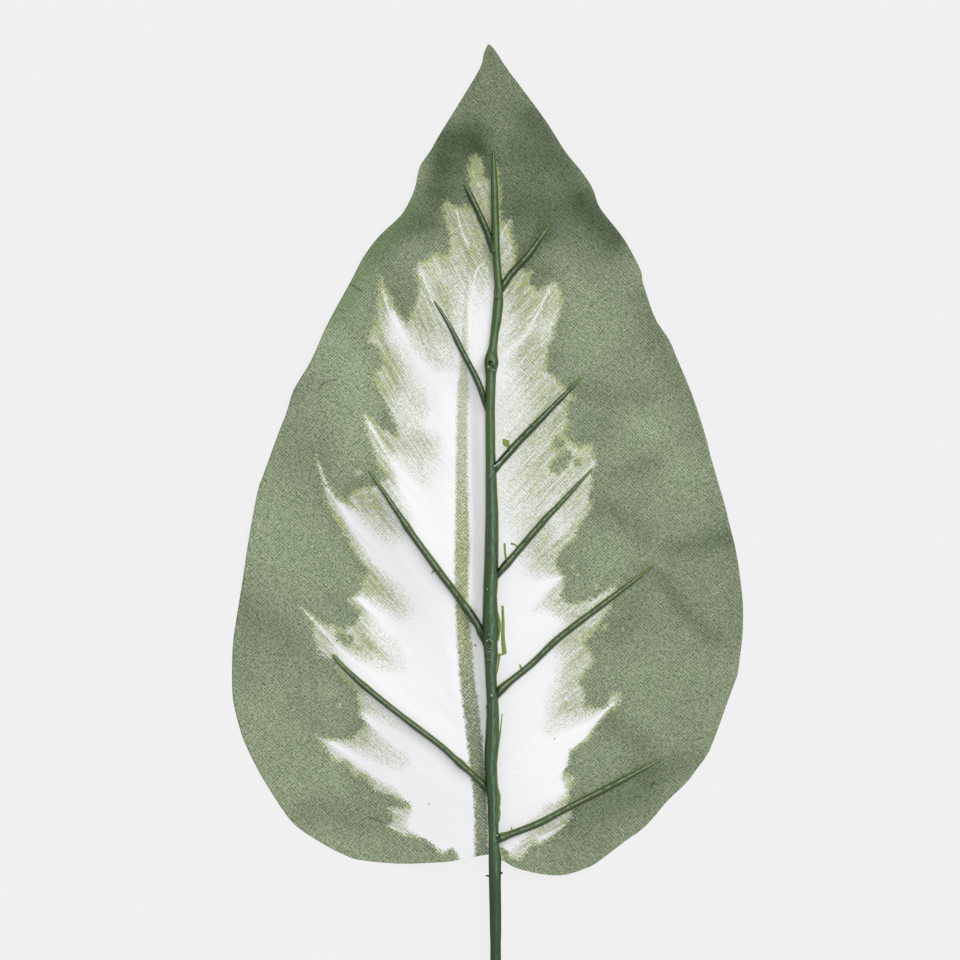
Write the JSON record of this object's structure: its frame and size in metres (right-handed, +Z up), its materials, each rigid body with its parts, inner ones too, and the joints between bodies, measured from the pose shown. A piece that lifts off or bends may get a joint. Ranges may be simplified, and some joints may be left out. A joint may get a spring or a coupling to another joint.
{
  "type": "artificial dieffenbachia leaf",
  "caption": "Heart-shaped artificial leaf of printed cloth with a moulded plastic stem, midrib and side ribs on its back, lying back up.",
  "frame": {"origin": "on the floor under the middle of the leaf's outline, stem included", "axes": "+Z up, out of the ribbed back; +Y from the stem towards the tip; +X to the right seen from above"},
  "size_m": [0.1691, 0.3928, 0.0156],
  "materials": {
    "printed_cloth": "plain-woven white polyester, printed green and cream on the face, the print showing through muted on the back",
    "green_plastic": "moulded dark green polyethylene with a soft gloss and thin olive flash along its edges",
    "steel_wire": "plain drawn steel wire, cut off"
  },
  "bodies": {
    "root": {"blade": "printed_cloth", "stem_and_ribs": "green_plastic", "core_wire": "steel_wire"}
  },
  "joints": []
}
